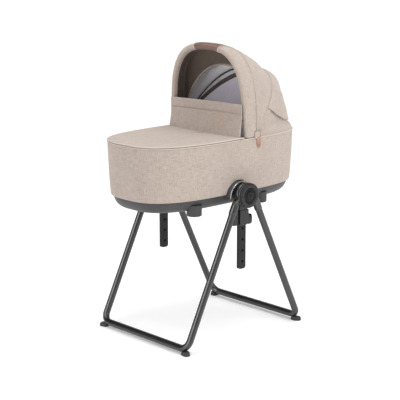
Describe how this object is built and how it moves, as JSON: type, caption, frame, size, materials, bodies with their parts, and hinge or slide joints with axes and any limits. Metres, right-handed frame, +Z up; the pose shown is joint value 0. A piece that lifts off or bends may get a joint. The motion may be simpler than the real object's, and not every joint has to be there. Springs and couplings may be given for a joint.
{
  "type": "bassinet on stand",
  "caption": "Fabric-covered bassinet with folding hood, zip-on apron and wind flap, on a folding two-frame stand with height-adjusting side bars.",
  "frame": {"origin": "on the floor, below the middle of the hub axle", "axes": "+Z up, +Y towards the hood end, +X to the right side seen from the foot end"},
  "size_m": [0.568, 0.8374, 1.18],
  "materials": {
    "satin_tube": "satin charcoal",
    "dark_plastic": "fine moulded grain",
    "gloss_plastic": "polished",
    "grey_plastic": "fine moulded grain",
    "soft_rubber": "matt",
    "steel": "plain zinc-plated",
    "melange_fabric": "woven two-tone beige",
    "lining_fabric": "soft quilted",
    "mesh_fabric": "open mesh",
    "board": "pressed board",
    "brown_leather": "stitched",
    "copper_trim": "metallic finish"
  },
  "bodies": {
    "stand_hubs": {"hub_housing_left": "dark_plastic", "hub_axle_left": "steel", "hub_cap_left": "dark_plastic", "fold_spring_left": "steel", "latch_box_left": "gloss_plastic", "latch_spring_left": "steel", "hub_housing_right": "dark_plastic", "hub_axle_right": "steel", "hub_cap_right": "dark_plastic", "fold_spring_right": "steel", "latch_box_right": "gloss_plastic", "latch_spring_right": "steel"},
    "front_frame": {"front_frame_tube": "satin_tube", "front_leg_joint_left": "dark_plastic", "front_glide_left": "soft_rubber", "front_leg_joint_right": "dark_plastic", "front_glide_right": "soft_rubber"},
    "rear_frame": {"rear_frame_tube": "satin_tube", "rear_leg_joint_left": "dark_plastic", "rear_glide_left": "soft_rubber", "rear_leg_joint_right": "dark_plastic", "rear_glide_right": "soft_rubber"},
    "fold_button_left": {"fold_button_left": "dark_plastic"},
    "height_button_left": {"height_button_left": "gloss_plastic"},
    "latch_pin_left": {"latch_pin_left": "steel"},
    "height_bar_left": {"height_bar_left": "satin_tube", "bar_head_left": "dark_plastic"},
    "fold_button_right": {"fold_button_right": "dark_plastic"},
    "height_button_right": {"height_button_right": "gloss_plastic"},
    "latch_pin_right": {"latch_pin_right": "steel"},
    "height_bar_right": {"height_bar_right": "satin_tube", "bar_head_right": "dark_plastic"},
    "bassinet": {"shell": "grey_plastic", "base_board": "board", "mattress": "lining_fabric", "inner_lining": "lining_fabric", "body_cover": "melange_fabric", "rim_frame": "satin_tube", "canopy_rear": "melange_fabric", "side_tab": "copper_trim", "side_pod_left": "grey_plastic", "hood_hinge_left": "dark_plastic", "tray_foot_front_left": "soft_rubber", "tray_foot_rear_left": "soft_rubber", "side_pod_right": "grey_plastic", "hood_hinge_right": "dark_plastic", "tray_foot_front_right": "soft_rubber", "tray_foot_rear_right": "soft_rubber"},
    "apron": {"apron": "melange_fabric"},
    "wind_flap": {"wind_flap": "melange_fabric"},
    "rear_rib": {"rear_rib": "dark_plastic"},
    "front_rib": {"front_rib": "dark_plastic", "canopy_mesh": "mesh_fabric"},
    "hood_hoop": {"hoop_rod": "dark_plastic", "hoop_roll": "melange_fabric", "hood_grip": "brown_leather", "canopy_front": "melange_fabric"}
  },
  "joints": [
    {"name": "front_frame_fold", "type": "hinge", "parent": "stand_hubs", "child": "front_frame", "pos_m": [0, 0, 0.597], "axis": [1, 0, 0], "range_deg": [0, 25.9]},
    {"name": "rear_frame_fold", "type": "hinge", "parent": "stand_hubs", "child": "rear_frame", "pos_m": [0, 0, 0.597], "axis": [1, 0, 0], "range_deg": [-25.9, 0]},
    {"name": "fold_button_left_press", "type": "slide", "parent": "stand_hubs", "child": "fold_button_left", "axis": [1, 0, 0], "range_m": [0, 0.003], "stiffness_N_per_m": 300, "springref_m": -0.004, "deforming": ["fold_spring_left"]},
    {"name": "height_button_left_press", "type": "slide", "parent": "stand_hubs", "child": "height_button_left", "axis": [0, -1, 0], "range_m": [0, 0.005], "stiffness_N_per_m": 300, "springref_m": -0.004},
    {"name": "latch_pin_left_draw", "type": "slide", "parent": "stand_hubs", "child": "latch_pin_left", "axis": [1, 0, 0], "range_m": [0, 0.007], "deforming": ["latch_spring_left"]},
    {"name": "fold_button_right_press", "type": "slide", "parent": "stand_hubs", "child": "fold_button_right", "axis": [-1, 0, 0], "range_m": [0, 0.003], "stiffness_N_per_m": 300, "springref_m": -0.004, "deforming": ["fold_spring_right"]},
    {"name": "height_button_right_press", "type": "slide", "parent": "stand_hubs", "child": "height_button_right", "axis": [0, -1, 0], "range_m": [0, 0.005], "stiffness_N_per_m": 300, "springref_m": -0.004},
    {"name": "latch_pin_right_draw", "type": "slide", "parent": "stand_hubs", "child": "latch_pin_right", "axis": [-1, 0, 0], "range_m": [0, 0.007], "deforming": ["latch_spring_right"]},
    {"name": "height_bar_right_slide", "type": "slide", "parent": "stand_hubs", "child": "height_bar_right", "axis": [0, 0, 1], "range_m": [0, 0.184]},
    {"name": "height_bar_left_slide", "type": "slide", "parent": "stand_hubs", "child": "height_bar_left", "axis": [0, 0, 1], "range_m": [0, 0.184]},
    {"name": "bassinet_lift_off", "type": "slide", "parent": "height_bar_right", "child": "bassinet", "axis": [0, 0, 1], "range_m": [0, 0.07]},
    {"name": "apron_open", "type": "hinge", "parent": "bassinet", "child": "apron", "pos_m": [0, -0.415, 0.818], "axis": [1, 0, 0], "range_deg": [0, 110]},
    {"name": "wind_flap_fold", "type": "hinge", "parent": "apron", "child": "wind_flap", "pos_m": [0, 0.025, 0.83], "axis": [1, 0, 0], "range_deg": [0, 90]},
    {"name": "rear_rib_fold", "type": "hinge", "parent": "bassinet", "child": "rear_rib", "pos_m": [0, 0.095, 0.832], "axis": [1, 0, 0], "range_deg": [-34, 0], "deforming": ["canopy_rear"]},
    {"name": "front_rib_fold", "type": "hinge", "parent": "rear_rib", "child": "front_rib", "pos_m": [0, 0.095, 0.832], "axis": [1, 0, 0], "range_deg": [-3.01, 0], "deforming": ["canopy_mesh"]},
    {"name": "hoop_fold", "type": "hinge", "parent": "front_rib", "child": "hood_hoop", "pos_m": [0, 0.095, 0.832], "axis": [1, 0, 0], "range_deg": [-36.01, 0], "deforming": ["canopy_front", "hoop_roll"]}
  ],
  "couplings": [
    {"joint": "rear_frame_fold", "follows": "front_frame_fold", "ratio": -1},
    {"joint": "height_bar_left_slide", "follows": "height_bar_right_slide", "ratio": 1},
    {"joint": "front_rib_fold", "follows": "rear_rib_fold", "ratio": 0.088235},
    {"joint": "hoop_fold", "follows": "rear_rib_fold", "ratio": 1.0588},
    {"joint": "latch_pin_left_draw", "follows": "height_button_left_press", "ratio": 1.4},
    {"joint": "latch_pin_right_draw", "follows": "height_button_right_press", "ratio": 1.4}
  ]
}
